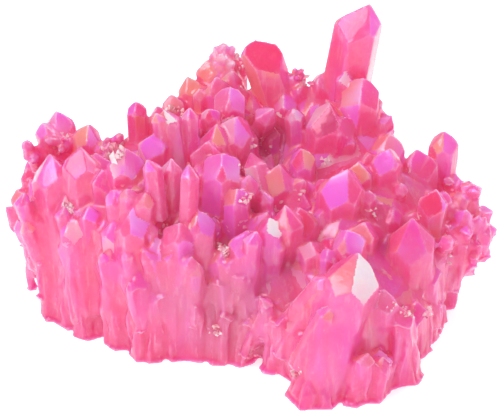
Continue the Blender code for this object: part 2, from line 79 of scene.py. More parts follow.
# Films on chosen facets: film, column and row of the view, reach in mm, strength. They are the coating's
# colours laid out as its sheen falls, so partly painted reflection; the white and some pale marks are painted
# highlights, and the darkest marks painted shade.
FILM_MARKS = (
    ("pale", 48, 122, 3, 0.7), ("violet", 57, 118, 3, 0.6), ("violet", 40, 134, 3, 0.6),
    ("peach", 80, 136, 3, 0.9), ("violet", 91, 134, 2.5, 0.6), ("pale", 33, 172, 3, 0.6),
    ("violet", 54, 174, 3, 0.5), ("hot", 73, 166, 4, 0.7), ("violet", 87, 166, 3, 0.6),
    ("peach", 94, 162, 2.5, 0.8), ("pale", 113, 168, 3.2, 0.9), ("hot", 124, 154, 3, 0.6),
    ("violet", 135, 170, 3, 0.6), ("violet", 152, 147, 3.6, 0.9), ("hot", 166, 148, 3, 0.6),
    ("magenta", 133, 110, 2.5, 0.8), ("peach", 138, 118, 3, 0.7), ("peach", 153, 118, 3, 0.8),
    ("peach", 166, 106, 3, 0.7), ("white", 171, 118, 2.4, 0.9), ("peach", 186, 88, 3.6, 0.8),
    ("peach", 203, 70, 3.6, 0.7), ("pale", 218, 54, 3, 0.8), ("violet", 238, 96, 3, 0.9),
    ("hot", 222, 97, 3, 0.4), ("red", 208, 118, 2.4, 0.9), ("peach", 197, 112, 2.4, 0.7),
    ("peach", 220, 134, 4, 0.9), ("violet", 238, 128, 3.2, 0.8), ("violet", 233, 166, 3, 0.9),
    ("violet", 212, 170, 3, 0.7), ("red", 222, 172, 2.4, 0.9), ("dusk", 205, 148, 3, 0.6),
    ("ash", 182, 166, 3.4, 0.9), ("violet", 138, 222, 3.2, 0.9), ("pale", 134, 218, 2, 0.5),
    ("hot", 178, 242, 4, 0.5), ("violet", 206, 222, 3.2, 0.8), ("violet", 237, 244, 3.6, 0.6),
    ("white", 274, 226, 3, 0.9), ("magenta", 144, 280, 3, 0.7), ("violet", 198, 290, 4, 0.5),
    ("violet", 92, 216, 3, 0.9), ("dusk", 92, 240, 3, 0.6), ("pale", 76, 228, 3, 0.6),
    ("pale", 297, 114, 3, 0.9), ("dusk", 324, 118, 4.2, 0.9), ("peach", 306, 112, 2, 0.8),
    ("red", 301, 156, 2.6, 0.8), ("peach", 310, 158, 2.6, 0.9), ("peach", 272, 186, 4, 0.7),
    ("hot", 288, 172, 3, 0.5), ("red", 266, 56, 6, 0.9), ("peach", 272, 73, 1.6, 0.7),
    ("hot", 352, 28, 5, 0.55), ("rose", 333, 62, 5, 0.4), ("rose", 350, 66, 6, 0.3),
    ("violet", 376, 24, 3, 0.6), ("peach", 374, 56, 6, 0.5), ("peach", 349, 92, 3.6, 0.7),
    ("violet", 361, 92, 2, 0.9), ("hot", 371, 96, 3, 0.8), ("pale", 382, 108, 2.6, 0.7),
    ("pale", 342, 78, 2.6, 0.8), ("peach", 386, 142, 3, 0.9), ("violet", 398, 146, 2.6, 0.6),
    ("violet", 383, 162, 3.4, 0.8), ("hot", 424, 166, 4.4, 0.8), ("peach", 438, 144, 2.6, 0.9),
    ("violet", 447, 145, 2, 0.7), ("peach", 361, 172, 3.2, 0.9), ("violet", 336, 190, 5.6, 0.95),
    ("hot", 359, 196, 4, 0.7), ("red", 434, 206, 3.8, 0.85), ("pale", 446, 212, 2, 0.7),
    ("magenta", 412, 232, 5.6, 0.6), ("peach", 436, 240, 3.4, 0.7), ("rose", 398, 240, 4, 0.6),
    ("red", 304, 222, 3, 0.7), ("violet", 358, 240, 3.6, 0.9), ("peach", 340, 278, 5, 0.6),
    ("white", 362, 276, 6, 0.98), ("violet", 330, 340, 9, 0.45), ("peach", 303, 308, 5, 0.6),
    ("violet", 386, 356, 3.6, 0.7), ("violet", 444, 262, 4, 0.5), ("hot", 470, 248, 3, 0.7),
    ("violet", 462, 230, 2.4, 0.8), ("white", 246, 174, 1.4, 0.9), ("white", 326, 161, 1.2, 0.9),
    ("white", 222, 250, 1.2, 0.8), ("pale", 262, 142, 1.6, 0.6), ("white", 68, 208, 1.6, 0.9),
    ("dusk", 270, 140, 4, 0.6), ("hot", 400, 316, 4, 0.5),
)

# What each film turns to where it is thicker
THICKER = {
    "violet": "lilac", "peach": "apricot", "hot": "magenta", "rose": "peach", "red": "hot", "pale": "violet",
    "magenta": "violet", "dusk": "red", "ash": "pale", "white": "white",
}

# Broad washes of colour: film, column and row, reach in mm, strength. The dark red washes are painted shade in
# the gaps and round the painted glints.
WASHES = (
    ("ash", 235, 305, 13, 0.65), ("ash", 165, 300, 12, 0.35), ("ash", 215, 350, 8, 0.4),
    ("dusk", 270, 138, 5.5, 0.9), ("dusk", 380, 242, 4, 0.8), ("dusk", 287, 262, 4, 0.75),
    ("dusk", 190, 250, 2.5, 0.5), ("dusk", 260, 352, 3, 0.5), ("dusk", 215, 333, 1.5, 0.7),
    ("dusk", 116, 152, 1.8, 0.35), ("dusk", 224, 256, 1.4, 0.4), ("hot", 150, 345, 9, 0.3),
    ("hot", 300, 400, 9, 0.35), ("hot", 380, 390, 9, 0.3), ("violet", 120, 268, 5, 0.45),
    ("magenta", 137, 305, 5, 0.45), ("magenta", 62, 262, 5, 0.25), ("magenta", 345, 340, 7, 0.3),
    ("magenta", 395, 370, 6, 0.3), ("violet", 240, 270, 3, 0.3), ("violet", 60, 255, 5, 0.25),
    ("hot", 480, 250, 7, 0.5), ("rose", 420, 290, 7, 0.4), ("pale", 225, 60, 5, 0.8),
    ("peach", 190, 84, 5, 0.5), ("peach", 155, 114, 3.5, 0.5), ("peach", 205, 66, 3, 0.5),
    ("peach", 84, 128, 2.5, 0.4),
)

# Places where no young crystal grows: column, row and reach in columns
PLAIN_SPOTS = (
    (352, 285, 44), (335, 352, 40), (318, 318, 30), (350, 45, 45), (264, 62, 32), (410, 252, 30),
    (305, 140, 22), (320, 252, 27), (224, 205, 24), (292, 92, 26), (112, 200, 16), (93, 302, 15),
    (400, 296, 20),
)

# Long crystals set one by one: column and row of the root, width in mm, kind, lean to +X and +Y, depth in mm
LONG_CRYSTALS = (
    (283, 350, 5, 0, 0.62, 0, 1.5), (300, 362, 5, 0, 0.50, 0, 1.5), (372, 374, 4.5, 1, -0.05, 0.1, 1.5),
    (388, 388, 4.5, 1, -0.25, 0, 1.2), (408, 376, 4.5, 1, -0.30, 0, 1.2), (426, 358, 4, 1, -0.30, 0.1, 1.2),
    (440, 332, 4, 0, -0.20, 0.1, 1.2), (205, 352, 4, 0, 0.35, 0, 1.2), (225, 352, 4, 1, 0.40, 0, 1.2),
    (245, 350, 4, 0, 0.45, 0, 1.2), (258, 340, 3.5, 0, 0.50, 0, 1.2), (366, 348, 3.6, 0, 0.02, 0.12, 0),
    (150, 345, 4.5, 1, 0.05, 0, 1.6), (178, 168, 4.5, 0, -0.15, 0.1, 1.5), (190, 160, 4, 0, 0, 0.1, 1.5),
    (168, 158, 3.6, 0, -0.2, 0.1, 1.2), (172, 218, 4.5, 0, 0, 0.1, 1.2), (188, 222, 4.2, 0, 0.05, 0.1, 1.2),
    (158, 214, 4.2, 0, -0.1, 0.1, 1.2), (118, 338, 4.5, 1, 0.00, 0, 1.6), (176, 350, 4.5, 1, 0.10, 0, 1.6),
    (84, 328, 4.5, 1, -0.1, 0, 1.6),
)

# Tones of the wall's low points, and how often each comes
WALL_TONES = ("rose", "violet", "hot", "pale", "peach", "magenta")
WALL_ODDS = (8, 4, 4, 2, 1, 1)

# Leans of the small crystals' tips, and the film of those whose facets get theirs later
LEANS = ((0, 0), (0.22, 0), (-0.12, 0.18), (0.05, -0.26))
PLAIN_FILM = ("rose", 0.0)

# Patches of fine crystals: finish, column and row, reach in mm, count, width in mm. The clear ones are small
# crystals painted as glints, mostly white with a painted glow.
DRUSE_PATCHES = (
    ("clear", 113, 149, 2.2, 30, 1.2), ("clear", 68, 210, 1.5, 20, 0.9), ("fused", 63, 146, 1.5, 9, 1.8),
    ("pink", 63, 145, 1.8, 24, 0.8), ("clear", 62, 144, 2.2, 14, 0.9), ("fused", 225, 60, 2.2, 14, 2.2),
    ("clear", 232, 66, 2.2, 14, 0.9), ("pink", 296, 72, 1.6, 16, 0.9), ("clear", 222, 250, 1.5, 14, 1),
    ("clear", 215, 331, 1.2, 14, 0.6), ("fused", 466, 240, 4.8, 26, 3.4), ("clear", 462, 230, 2.4, 10, 0.9),
    ("clear", 458, 260, 2.4, 10, 0.9), ("clear", 298, 372, 1.2, 8, 0.7), ("clear", 247, 200, 1.6, 10, 0.8),
    ("clear", 408, 312, 1.6, 10, 0.8), ("clear", 392, 306, 1.2, 6, 0.7), ("clear", 170, 112, 1.1, 9, 1),
    ("fused", 462, 190, 2.6, 8, 3), ("fused", 30, 154, 1.4, 6, 2.2), ("fused", 116, 138, 1.8, 10, 1.9),
    ("clear", 427, 311, 1.2, 6, 0.7), ("clear", 306, 84, 1.4, 8, 0.8), ("clear", 244, 168, 1.4, 7, 1),
    ("clear", 326, 161, 1.2, 6, 0.9), ("clear", 375, 214, 1.2, 5, 0.8), ("clear", 252, 142, 1.2, 6, 0.8),
    ("clear", 300, 195, 1.2, 5, 0.8), ("clear", 180, 112, 1.2, 6, 0.8),
)

# Finishes: veil size and bump in mm, shares of fine veil, streaks and grain, scattering, clearness, the dark
# and light tone of the ground, and the tone and strength of a painted glow, an emission that stands in for
# light coming through
FINISHES = {
    "aura quartz": {
        "veil": 9.0, "fine": 0.25, "streaks": 0.6, "grain": 0.25, "bump": 0.13, "scatter": 0.9, "clear": 0.1,
        "ground": ("body", "milk"), "painted_glow": "glow", "power": 0.2,
    },
    "druse quartz": {
        "veil": 3.0, "fine": 0.4, "streaks": 0.2, "grain": 0.3, "bump": 0.03, "scatter": 0.0, "clear": 0.0,
        "ground": ("body", "milk"), "painted_glow": "glow", "power": 0.2,
    },
    "clear quartz": {
        "veil": 3.0, "fine": 0.4, "streaks": 0.1, "grain": 0.2, "bump": 0.03, "scatter": 0.0, "clear": 0.2,
        "ground": ("rose", "white"), "painted_glow": "white", "power": 0.35,
    },
}
QUARTZ_IOR = 1.54
SCATTER_DEPTH = 8 * MM
SCATTER_TINT = (1.0, 0.35, 0.55)
SHINE_TINT = (1.0, 0.55, 0.85, 1.0)
COAT_WEIGHT, COAT_ROUGHNESS = 0.5, 0.05
# Shares of the sheen streaks, the feathers and the painted glints
SHEEN_SHARE, FEATHER_SHARE, PAINTED_GLINT_SHARE = 0.45, 0.22, 0.8
# Strength of the painted highlight on ridges and of the painted shade in folds
EDGE_HIGHLIGHT_SHADE_SHARE = 0.3
LEAST_FILM = 0.82
# Least share of the painted glow, where nothing shelters
LEAST_PAINTED_GLOW = 0.2
ROUGHNESS = (0.08, 0.24)
BLACK = (0.0, 0.0, 0.0, 1.0)

# Where shelter is felt, and the deepest shade it gives
SHELTER_REACH = 6 * MM
DEEPEST = 0.36
FEW_RAYS, MORE_RAYS = 10, 12

# Painted shade at the foot of the wall: its height and its strength
FOOT_HEIGHT = 7 * MM
FOOT_SHADE = 0.75

# How thick a film may grow in places, and how many of its swells fit in a metre
FILM_SWELL = 0.75
FILM_SWELLS = 240

# A junction is a fold at least this sharp; faces in one plane are one facet; a wide facet has a weak film
FOLD_ANGLE = math.radians(-20)
ONE_PLANE = 0.9998
WIDE_FACET, WIDE_FACET_FILM = 45 * MM**2, 0.2
SHADING_ANGLE = math.radians(40)


def deselect_all():
    """Leaves nothing selected, in object mode."""
    if bpy.context.mode != "OBJECT":
        bpy.ops.object.mode_set(mode="OBJECT")
    bpy.ops.object.select_all(action="DESELECT")


def pick(obj):
    """Selects one object alone and makes it active."""
    deselect_all()
    obj.select_set(True)
    bpy.context.view_layer.objects.active = obj


def seen_at(tree, column, row):
    """Place, normal and face index of the surface seen at a column and row of the view."""
    across = (column - VIEW_COLUMNS / 2) / VIEW_COLUMNS * SENSOR / LENS
    along = (VIEW_ROWS / 2 - row) / VIEW_COLUMNS * SENSOR / LENS
    ray = (VIEW_RIGHT * across + VIEW_UP * along - VIEW_BACK).normalized()
    return tree.ray_cast(VIEW_AIM + VIEW_BACK * VIEW_DISTANCE, ray)[:3]


def seen_from_front(place):
    """Column and row of the view at which a place is seen."""
    away = place - VIEW_AIM
    scale = LENS / SENSOR * VIEW_COLUMNS / (VIEW_DISTANCE - away.dot(VIEW_BACK))
    return VIEW_COLUMNS / 2 + away.dot(VIEW_RIGHT) * scale, VIEW_ROWS / 2 - away.dot(VIEW_UP) * scale


def clear_of_marks(place, gap):
    """Whether a place is seen clear of the plain spots, and of the film marks by a gap in columns."""
    column, row = seen_from_front(place)
    if plainness(place) > 0.5:
        return False
    return all(math.hypot(column - mark[1], row - mark[2]) > gap + 1.5 * mark[3] for mark in FILM_MARKS)


def plainness(place):
    """How far a place is seen in one of the plain spots, from 0 to 1."""
    column, row = seen_from_front(place)
    return max(smoothstep(1.3, 0.8, math.hypot(column - x, row - y) / reach) for x, y, reach in PLAIN_SPOTS)


def shelter(tree, place, normal, reach, rays):
    """Share of a fan of rays that meet the crystals close by: 0 in the open, 1 deep in a cleft."""
    start = place + normal * 0.05 * MM
    met = 0
    for ray in rays:
        if ray.dot(normal) < 0:
            ray = -ray
        if tree.ray_cast(start, (ray + normal * 0.4).normalized(), reach)[0] is not None:
            met += 1
    return met / len(rays)


def fan(count):
    """Directions spread evenly over the sphere."""
    golden = math.pi * (3 - math.sqrt(5))
    rays = []
    for step in range(count):
        z = 1 - 2 * (step + 0.5) / count
        level = math.sqrt(1 - z * z)
        rays.append(Vector((level * math.cos(golden * step), level * math.sin(golden * step), z)))
    return rays


def smoothstep(low, high, value):
    """Soft step from 0 at low to 1 at high."""
    share = min(1.0, max(0.0, (value - low) / (high - low)))
    return share * share * (3 - 2 * share)


class ClusterShape(bpy.types.PropertyGroup):
    """Sizes of the finish on the large crystals."""

    grain: FloatProperty(
        name="Grain", description="Finest mesh cell, which rounds the edges", default=0.33 * MM, unit="LENGTH"
    )
    most_triangles: IntProperty(
        name="Most triangles", description="Triangles that the finished crystals may have", default=185000
    )
    cleft_rounds: IntProperty(
        name="Cleft rounds", description="Times that the clefts between crystals are filled", default=2, min=0
    )
    soft_top: FloatProperty(
        name="Fused wall top", description="Where the wall begins to fuse", default=27 * MM, unit="LENGTH"
    )
    soft_low: FloatProperty(
        name="Fully fused", description="Where the wall is fused most", default=8 * MM, unit="LENGTH"
    )
    fusing: IntProperty(name="Fusing", description="Smoothing steps of the fused wall", default=60, min=0)
    wave: FloatProperty(
        name="Waviness", description="How far the fused wall swells and sinks", default=0.9 * MM, unit="LENGTH"
    )
    flute: FloatProperty(
        name="Flutes", description="Depth of the grooves in the fused wall", default=0.65 * MM, unit="LENGTH"
    )


class DruseShape(bpy.types.PropertyGroup):
    """Sizes of the fine crystals."""

    young_least: FloatProperty(
        name="Least young crystal", description="Width of the smallest", default=3.2 * MM, unit="LENGTH"
    )
    young_most: FloatProperty(
        name="Largest young crystal", description="Width of the largest", default=6.5 * MM, unit="LENGTH"
    )
    wall_count: IntProperty(name="Wall crystals", description="Low crystals along the wall", default=150, min=0)
    junction_gap: FloatProperty(
        name="Junction spacing", description="Spacing along the junctions", default=13.0 * MM, unit="LENGTH"
    )
    floor_gap: FloatProperty(
        name="Floor spacing", description="Spacing on the open floors", default=11.0 * MM, unit="LENGTH"
    )


def colour_property(name, description, default):
    """A colour that a user may change."""
    return FloatVectorProperty(
        name=name, description=description, subtype="COLOR", default=default, min=0, max=1
    )


class FilmColours(bpy.types.PropertyGroup):
    """Colours of the crystal and of the metal film on its facets, and of the painted shade, highlights, glints
    and glow.
    """

    body: colour_property("Body", "Quartz without milk", (0.90, 0.12, 0.33))
    milk: colour_property("Milk", "Cloudy veils in the quartz", (0.93, 0.21, 0.43))
    deep: colour_property("Clefts", "Shade between the crystals", (0.76, 0.07, 0.21))
    violet: colour_property("Violet", "Violet film and streaks", (0.93, 0.17, 0.78))
    lilac: colour_property("Lilac", "Thicker violet film", (0.96, 0.50, 0.95))
    magenta: colour_property("Magenta", "Magenta film", (0.95, 0.06, 0.50))
    hot: colour_property("Hot pink", "Hot pink film", (0.96, 0.05, 0.24))
    rose: colour_property("Rose", "Faint film on most facets", (0.95, 0.11, 0.26))
    red: colour_property("Red", "Red film", (0.90, 0.035, 0.15))
    # Painted shade: dark red in the gaps, at the foot of the wall and round the painted glints
    dusk: colour_property("Dusk", "Dark red in the gaps", (0.62, 0.05, 0.18))
    peach: colour_property("Peach", "Orange film", (0.98, 0.33, 0.25))
    apricot: colour_property("Apricot", "Thicker orange film", (0.99, 0.46, 0.33))
    # Pale is also the painted highlight along the ridges
    pale: colour_property("Pale", "Pale film, feathers and highlit edges", (0.98, 0.62, 0.72))
    ash: colour_property("Ash pink", "Greyish pink of the fused wall", (0.66, 0.22, 0.36))
    # Painted glow: an emission colour, strongest in the clefts, that stands in for light coming through
    glow: colour_property("Light through", "Light that comes through the clefts", (0.55, 0.16, 0.37))
    # White paints the highlights on facets and the glints
    white: colour_property("White", "Bright facets and flakes", (1.0, 0.93, 0.93))


class StageLook(bpy.types.PropertyGroup):
    """Floor and studio light."""

    sky: FloatProperty(name="Surround", description="Strength of the white surround", default=0.57, min=0)
    key: FloatProperty(name="Key light", description="Power of the large light", default=1.65, unit="POWER")
    rim: FloatProperty(name="Rim light", description="Power of the back light", default=0.8, unit="POWER")


def new_material(name):
    """A material with only its Principled BSDF and its output."""
    material = bpy.data.materials.new(name)
    material.use_nodes = True
    return material, material.node_tree, material.node_tree.nodes["Principled BSDF"]


def add_node(tree, kind, spot, **settings):
    """A node at a spot of the editor's grid, with its properties and its input values."""
    node = tree.nodes.new(kind)
    node.location = (spot[0] * 200, spot[1] * -200)
    for name, value in settings.items():
        if name.startswith("in_"):
            node.inputs[name[3:].replace("_", " ")].default_value = value
        else:
            setattr(node, name, value)
    return node


def feed(tree, socket, value):
    """Gives an input a plain value, or links it to a socket."""
    if isinstance(value, bpy.types.NodeSocket):
        tree.links.new(value, socket)
    else:
        socket.default_value = value


def mix_colours(tree, spot, factor, first, second):
    """A colour mix, whose factor and colours are sockets or plain values."""
    node = add_node(tree, "ShaderNodeMix", spot, data_type="RGBA")
    for index, value in ((0, factor), (6, first), (7, second)):
        feed(tree, node.inputs[index], value)
    return node.outputs[2]


def calculate(tree, spot, operation, *values):
    """The outcome of a sum on sockets or plain numbers."""
    node = add_node(tree, "ShaderNodeMath", spot, operation=operation)
    for socket, value in zip(node.inputs, values):
        feed(tree, socket, value)
    return node.outputs[0]


def spread(tree, spot, value, low, high, least=0.0, most=1.0, soft=False):
    """A value between low and high stretched from least to most, with soft ends if asked."""
    node = add_node(tree, "ShaderNodeMapRange", spot, interpolation_type="SMOOTHSTEP" if soft else "LINEAR")
    for name, number in (("From Min", low), ("From Max", high), ("To Min", least), ("To Max", most)):
        node.inputs[name].default_value = number
    tree.links.new(value, node.inputs["Value"])
    return node.outputs["Result"]


def noise_value(tree, spot, vector, scale, detail, roughness=0.5, distortion=0.0):
    """Noise at a vector, from 0 to 1."""
    node = add_node(
        tree, "ShaderNodeTexNoise", spot, in_Detail=detail, in_Roughness=roughness, in_Distortion=distortion
    )
    feed(tree, node.inputs["Scale"], scale)
    tree.links.new(vector, node.inputs["Vector"])
    return node.outputs["Fac"]


def stretched(tree, spot, vector, scale, turn=(0.0, 0.0, 0.0)):
    """Coordinates that are turned and scaled."""
    node = add_node(tree, "ShaderNodeMapping", spot, in_Scale=scale, in_Rotation=turn)
    tree.links.new(vector, node.inputs["Vector"])
    return node.outputs["Vector"]


def new_group(name, inputs, outputs):
    """A node group of named numbers: the group, what it is given, what it returns, and Object coordinates."""
    group = bpy.data.node_groups.new(name, "ShaderNodeTree")
    for label, value in inputs:
        socket = group.interface.new_socket(label, in_out="INPUT", socket_type="NodeSocketFloat")
        socket.default_value = value
    for label in outputs:
        group.interface.new_socket(label, in_out="OUTPUT", socket_type="NodeSocketFloat")
    given = add_node(group, "NodeGroupInput", (0, 0)).outputs
    made = add_node(group, "NodeGroupOutput", (9, 0)).inputs
    return group, given, made, add_node(group, "ShaderNodeTexCoord", (0, 1)).outputs["Object"]


def veil_group():
    """Cloudy veils inside the quartz: a mask from broad and fine noise."""
    group, given, made, place = new_group("milky_veils", (("Size mm", 8.0), ("Fine share", 0.3)), ("Mask",))
    scale = calculate(group, (1, 0), "DIVIDE", 1 / MM, given["Size mm"])
    broad = noise_value(group, (2, 0), place, scale, 3.0, 0.55, 0.6)
    fine = noise_value(group, (2, 1), place, 1400.0, 4.0, 0.6)
    blend = add_node(group, "ShaderNodeMix", (3, 0), data_type="FLOAT")
    for name, value in (("Factor", given["Fine share"]), ("A", broad), ("B", fine)):
        group.links.new(value, blend.inputs[name])
    group.links.new(spread(group, (4, 0), blend.outputs["Result"], 0.38, 0.64, soft=True), made["Mask"])
    return group


def relief_group():
    """Growth relief: a height of streaks and fine grain, broad streaks of sheen, and slanted feathers."""
    group, given, made, place = new_group(
        "growth_relief", (("Streaks", 0.6), ("Grain", 0.3)), ("Height", "Sheen", "Feather")
    )
    upright = stretched(group, (1, 1), place, (1.0, 1.0, 0.12))
    slanted = stretched(group, (1, 5), place, (1.0, 1.0, 0.16), (0.2, 0.35, 0.0))
    streaks = noise_value(group, (2, 0), upright, 900.0, 3.0)
    grain = noise_value(group, (2, 1), place, 1600.0, 2.0)
    broad = noise_value(group, (2, 3), upright, 190.0, 4.0, 0.55)
    wisps = noise_value(group, (2, 5), slanted, 760.0, 5.0, 0.65)
    height = calculate(group, (3, 0), "MULTIPLY", streaks, given["Streaks"])
    for name, value in (
        ("Height", calculate(group, (4, 1), "MULTIPLY_ADD", grain, given["Grain"], height)),
        ("Sheen", spread(group, (4, 3), broad, 0.5, 0.72, soft=True)),
        ("Feather", spread(group, (4, 5), wisps, 0.54, 0.66, soft=True)),
    ):
        group.links.new(value, made[name])
    return group


def painted_glint_group():
    """Painted glints: small bright specks in scattered patches, a mask that is stronger between the crystals.
    """
    group, given, made, place = new_group("bright_flakes", (("Depth", 0.0), ("Amount", 1.0)), ("Mask",))
    patches = spread(group, (2, 1), noise_value(group, (1, 1), place, 210.0, 2.0), 0.52, 0.62, soft=True)
    near = spread(group, (2, 2), given["Depth"], 0.04, 0.2, soft=True)
    glints = add_node(group, "ShaderNodeTexVoronoi", (2, 3), in_Scale=1500.0)
    channels = add_node(group, "ShaderNodeSeparateColor", (3, 3))
    group.links.new(place, glints.inputs["Vector"])
    group.links.new(glints.outputs["Color"], channels.inputs["Color"])
    mask = calculate(group, (4, 3), "GREATER_THAN", channels.outputs["Red"], 0.84)
    for column, share in ((5, patches), (6, near), (7, given["Amount"])):
        mask = calculate(group, (column, 1), "MULTIPLY", mask, share)
    group.links.new(mask, made["Mask"])
    return group


def add_group(tree, spot, name, maker, **values):
    """The outputs of a shared group with these inputs; the group is made the first time it is asked for."""
    node = add_node(tree, "ShaderNodeGroup", spot, node_tree=bpy.data.node_groups.get(name) or maker())
    for label, value in values.items():
        feed(tree, node.inputs[label.replace("_", " ")], value)
    return node.outputs


def tone(name):
    """A colour property with full alpha."""
    return (*getattr(bpy.context.scene.film_colours, name), 1.0)


def mesh_value(tree, spot, name):
    """The outputs of a mesh attribute."""
    return add_node(tree, "ShaderNodeAttribute", spot, attribute_name=name).outputs


def quartz_material(name):
    """Milky quartz of a finish, under a thin metal film, with painted light and shade.

    The film, how deep a place lies between the crystals, and how sharp its ridge or fold is come from the mesh.
    Depth paints shade and a glow in the clefts; ridges get a painted highlight and folds painted shade.
    """
    finish = FINISHES[name]
    material, tree, shader = new_material(name)
    veils = add_group(
        tree, (-7, 0), "milky_veils", veil_group, Size_mm=finish["veil"], Fine_share=finish["fine"]
    )["Mask"]
    relief = add_group(
        tree, (-7, 4), "growth_relief", relief_group, Streaks=finish["streaks"], Grain=finish["grain"]
    )
    film = mesh_value(tree, (-7, 2), "film")
    depth = mesh_value(tree, (-7, 3), "depth")["Fac"]
    ridge = mesh_value(tree, (-7, 5), "ridge")["Fac"]
    glints = add_group(tree, (-6, 7), "bright_flakes", painted_glint_group, Depth=depth, Amount=PAINTED_GLINT_SHARE)["Mask"]
    uneven = spread(tree, (-6, 2), veils, 0.0, 1.0, 1.0, LEAST_FILM)
    colour = mix_colours(tree, (-5, 0), veils, *(tone(key) for key in finish["ground"]))
    layers = (
        (calculate(tree, (-5, 4), "MULTIPLY", relief["Sheen"], SHEEN_SHARE), tone("violet")),
        (calculate(tree, (-5, 5), "MULTIPLY", relief["Feather"], FEATHER_SHARE), tone("pale")),
        # Painted shade in the clefts, by how sheltered a place is
        (depth, tone("deep")),
        # The film: the coating's colours, partly painted sheen, highlights and shade
        (calculate(tree, (-5, 2), "MULTIPLY", film["Alpha"], uneven), film["Color"]),
        # Painted highlight on the ridges, painted shade in the folds
        (spread(tree, (-6, 5), ridge, 0.15, 0.9, 0.0, EDGE_HIGHLIGHT_SHADE_SHARE), tone("pale")),
        (spread(tree, (-6, 6), ridge, -0.1, -0.9, 0.0, EDGE_HIGHLIGHT_SHADE_SHARE), tone("deep")),
        # Painted glints
        (glints, tone("white")),
    )
    for column, (share, over) in enumerate(layers, -4):
        colour = mix_colours(tree, (column, 0), share, colour, over)
    # Painted glow: emission that is stronger in the clefts
    painted_glow = spread(tree, (1, 7), depth, 0.0, 1.0, LEAST_PAINTED_GLOW)
    bump = add_node(tree, "ShaderNodeBump", (2, 4), in_Strength=1.0, in_Distance=finish["bump"] * MM)
    tree.links.new(relief["Height"], bump.inputs["Height"])
    for label, value in (
        ("Base Color", colour),
        ("Emission Color", mix_colours(tree, (2, 7), painted_glow, BLACK, tone(finish["painted_glow"]))),
        ("Emission Strength", finish["power"]),
        ("Roughness", spread(tree, (2, 2), veils, 0.0, 1.0, *ROUGHNESS)),
        ("Normal", bump.outputs["Normal"]),
        ("IOR", QUARTZ_IOR),
        ("Subsurface Weight", finish["scatter"]),
        ("Subsurface Radius", SCATTER_TINT),
        ("Subsurface Scale", SCATTER_DEPTH),
        ("Transmission Weight", finish["clear"]),
        ("Specular Tint", SHINE_TINT),
        ("Coat Weight", COAT_WEIGHT),
        ("Coat Roughness", COAT_ROUGHNESS),
    ):
        feed(tree, shader.inputs[label], value)
    return material


def facet_numbers(bm):
    """Numbers the facets: faces that join in one plane share a number."""
    numbers = {}
    count = 0
    for face in bm.faces:
        if face.index in numbers:
            continue
        count += 1
        numbers[face.index] = count
        queue = [face]
        while queue:
            current = queue.pop()
            for edge in current.edges:
                for other in edge.link_faces:
                    if other.index not in numbers and other.normal.dot(current.normal) > ONE_PLANE:
                        numbers[other.index] = count
                        queue.append(other)
    return numbers


def chance_film(rng, normal):
    """A film for a facet that has no mark, by the way it faces: the coating's colours laid out as its sheen
    falls, so partly painted reflection, and facets turned up and to the left, towards the key light, get pale
    and peach films more often.
    """
    if normal.z > 0.35 and normal.x < -0.25:
        films = (("pale", 0.2), ("peach", 0.3), ("violet", 0.2), ("hot", 0.15))
    elif normal.z > 0.35 and normal.x > 0.25:
        films = (("violet", 0.22), ("hot", 0.35), ("magenta", 0.12), ("peach", 0.08))
    elif normal.z > 0.35:
        films = (("hot", 0.3), ("red", 0.15), ("violet", 0.2), ("peach", 0.12))
    elif normal.x < -0.3:
        films = (("violet", 0.1), ("peach", 0.02), ("pale", 0.04))
    else:
        films = (("hot", 0.1), ("peach", 0.02), ("violet", 0.1))
    draw = rng.random()
    for film, share in films:
        draw -= share
        if draw < 0:
            return film, rng.uniform(0.3, 0.75)
    return "rose", rng.uniform(0.0, 0.3)


def merged_solid():
    """The solid's mesh with its loose triangles merged."""
    bm = bmesh.new()
    bm.from_mesh(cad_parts[NODE].data)
    bmesh.ops.remove_doubles(bm, verts=bm.verts[:], dist=MERGE)
    bm.verts.index_update()
    bm.faces.index_update()
    return bm


def patch_crystals(tree, rng):
    """Place, axis, width and finish of each crystal in the patches of fine crystals."""
    for finish, column, row, reach, count, width in DRUSE_PATCHES:
        for step in range(count):
            swing, out = rng.uniform(0, 2 * math.pi), reach * math.sqrt(rng.random()) * 5
            place, normal, index = seen_at(tree, column + out * math.cos(swing), row + out * math.sin(swing))
            if place is not None:
                axis = normal + Vector((0, 0, 0.3)) + wobble(rng, 0.3)
                yield place, axis, width * MM * rng.uniform(0.6, 1.3), finish


def grow_young(solid, shape, rng):
    """Adds the young crystals between the large ones, and low ones along the wall, sunk in their neighbours."""
    tree = BVHTree.FromBMesh(solid)
    stubby, tall = crystal_shapes((1.0, 1.5, 2.1)), crystal_shapes((2.6, 3.6))
    young = young_between(solid, tree, stubby, shape, rng)
    slabs = slabs_on_wall(tree, tall, shape, rng)
    for name, kinds, crystals in (("young", stubby, young), ("slabs", tall, slabs)):
        grown = join_copies(name, kinds, crystals)
        solid.from_mesh(grown.data)
        forget(grown)
    solid.faces.index_update()


def young_between(solid, tree, shapes, shape, rng):
    """The young crystals in the junctions, on the open floors and in the fused patches."""
    copies = []
    for place, normal in druse_places(solid, tree, shape, rng):
        own = random.Random(rng.random())
        width = shape.young_least + (shape.young_most - shape.young_least) * rng.random() ** 1.6
        axis = normal * 0.7 + Vector((place.x * 6, place.y * 6 - 0.1, 1.0)) + wobble(rng, 0.2)
        tip = place + axis.normalized() * 1.3 * width
        if hides_in_outline(tree, tip) and clear_of_marks(tip, 5) and clear_of_marks(place, 3):
            seat_crystal(copies, shapes, own, place, axis, width, 0.5, PLAIN_FILM)
    for place, axis, width, finish in patch_crystals(tree, rng):
        own = random.Random(rng.random())
        if finish == "fused":
            seat_crystal(copies, shapes, own, place, axis, width, 0.5, PLAIN_FILM)
    return copies


